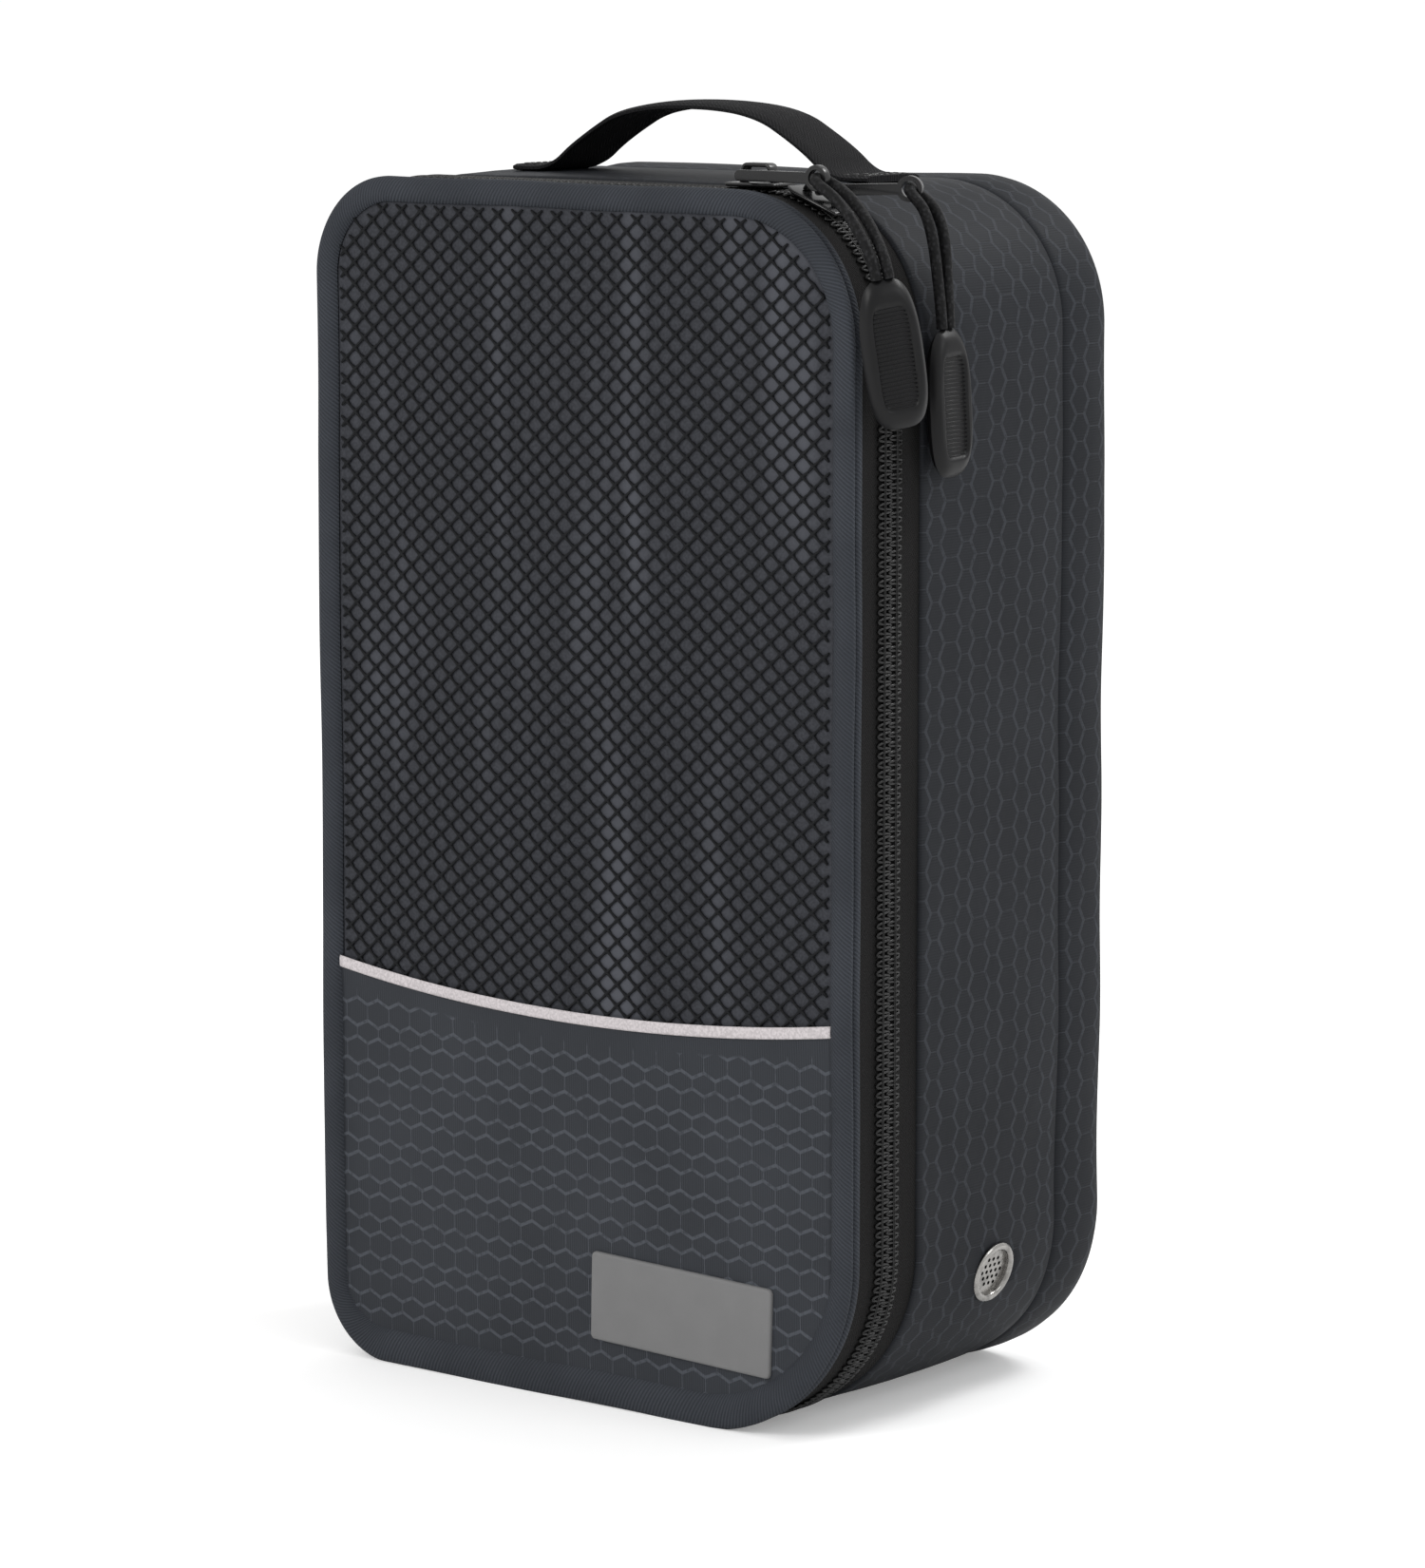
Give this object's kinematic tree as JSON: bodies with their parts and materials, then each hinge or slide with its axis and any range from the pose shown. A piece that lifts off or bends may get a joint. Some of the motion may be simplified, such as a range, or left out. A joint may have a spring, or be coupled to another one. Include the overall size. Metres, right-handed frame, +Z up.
{
  "type": "shoe bag",
  "caption": "Upright zipped shoe bag with a mesh-topped front lid hinged on one side, a webbing carry handle, corded zip pulls and vent eyelets.",
  "frame": {"origin": "centre of the bottom, on the surface the bag stands on", "axes": "+Z up, the front lid faces -Y, +X is the bag's right side seen from the front"},
  "size_m": [0.2162, 0.1296, 0.378],
  "materials": {
    "ripstop": "hexagon ripstop polyester, dark slate grey, satin",
    "band_fabric": "fine ribbed polyester, bluish grey, satin",
    "binding_tape": "woven binding tape, near black, matt",
    "zip_tape": "twill tape, black, matt",
    "zip_coil": "nylon coil, black, glossy",
    "webbing": "twill webbing, black, matt",
    "mesh_net": "knotted diamond net, black",
    "lining": "plain weave lining, mid grey",
    "reflective_trim": "light grey tape, matt",
    "patch_rubber": "plain moulded rubber, grey, matt",
    "slider_metal": "black lacquered zinc, glossy",
    "pull_cord": "braided cord, black",
    "grip_rubber": "moulded rubber, black, matt",
    "eyelet_metal": "nickel plated, polished"
  },
  "bodies": {
    "bag": {"main_gusset": "ripstop", "rear_band": "ripstop", "back_panel": "ripstop", "mid_binding": "binding_tape", "back_binding": "binding_tape", "zip_binding": "binding_tape", "rear_tape": "zip_tape", "rear_coil": "zip_coil", "hinge_strip": "zip_tape", "chain_stops": "zip_tape", "handle_left_end": "webbing", "handle_right_end": "webbing", "handle_patch": "binding_tape", "vent_eyelet_left": "eyelet_metal", "vent_eyelet_right": "eyelet_metal", "vent_grille_left": "eyelet_metal", "vent_grille_right": "eyelet_metal", "vent_washer_left": "eyelet_metal", "vent_washer_right": "eyelet_metal"},
    "lid": {"lid_hinge_strip": "zip_tape", "lid_tape": "zip_tape", "lid_coil": "zip_coil", "front_piping": "band_fabric", "lid_band": "band_fabric", "lid_binding": "binding_tape", "mesh_panel": "mesh_net", "mesh_lining": "lining", "lower_front_panel": "ripstop", "trim_tape": "reflective_trim", "label_patch": "patch_rubber"},
    "handle": {"handle_strap": "webbing"},
    "slider_a": {"slider_a_body": "slider_metal", "slider_a_bail": "slider_metal"},
    "slider_b": {"slider_b_body": "slider_metal", "slider_b_bail": "slider_metal"},
    "pull_a": {"pull_a_puller": "slider_metal", "pull_a_cord": "pull_cord", "pull_a_grip": "grip_rubber"},
    "pull_b": {"pull_b_puller": "slider_metal", "pull_b_cord": "pull_cord", "pull_b_grip": "grip_rubber"}
  },
  "joints": [
    {"name": "lid_hinge", "type": "hinge", "parent": "bag", "child": "lid", "pos_m": [-0.0995, -0.0445, 0.178], "axis": [0, 0, -1], "range_deg": [0, 165]},
    {"name": "handle_lean", "type": "hinge", "parent": "bag", "child": "handle", "pos_m": [0, 0, 0.356], "axis": [1, 0, 0], "range_deg": [-30, 30], "stiffness_Nm_per_rad": 0.02},
    {"name": "slider_a_slide", "type": "slide", "parent": "bag", "child": "slider_a", "axis": [-1, 0, 0], "range_m": [0, 0.112]},
    {"name": "pull_a_swing", "type": "hinge", "parent": "slider_a", "child": "pull_a", "pos_m": [0.053, -0.0445, 0.3598], "axis": [0, -1, 0], "range_deg": [0, 180]},
    {"name": "slider_b_arc", "type": "hinge", "parent": "bag", "child": "slider_b", "pos_m": [0.056, -0.0445, 0.313], "axis": [0, 1, 0], "range_deg": [0, 66]},
    {"name": "pull_b_swing", "type": "hinge", "parent": "slider_b", "child": "pull_b", "pos_m": [0.07504, -0.0445, 0.35575], "axis": [0, 1, 0], "range_deg": [-53, 0]}
  ],
  "couplings": [
    {"joint": "pull_a_swing", "follows": "slider_a_slide", "rad_per_m": 28},
    {"joint": "pull_b_swing", "follows": "slider_b_arc", "ratio": -0.8}
  ]
}
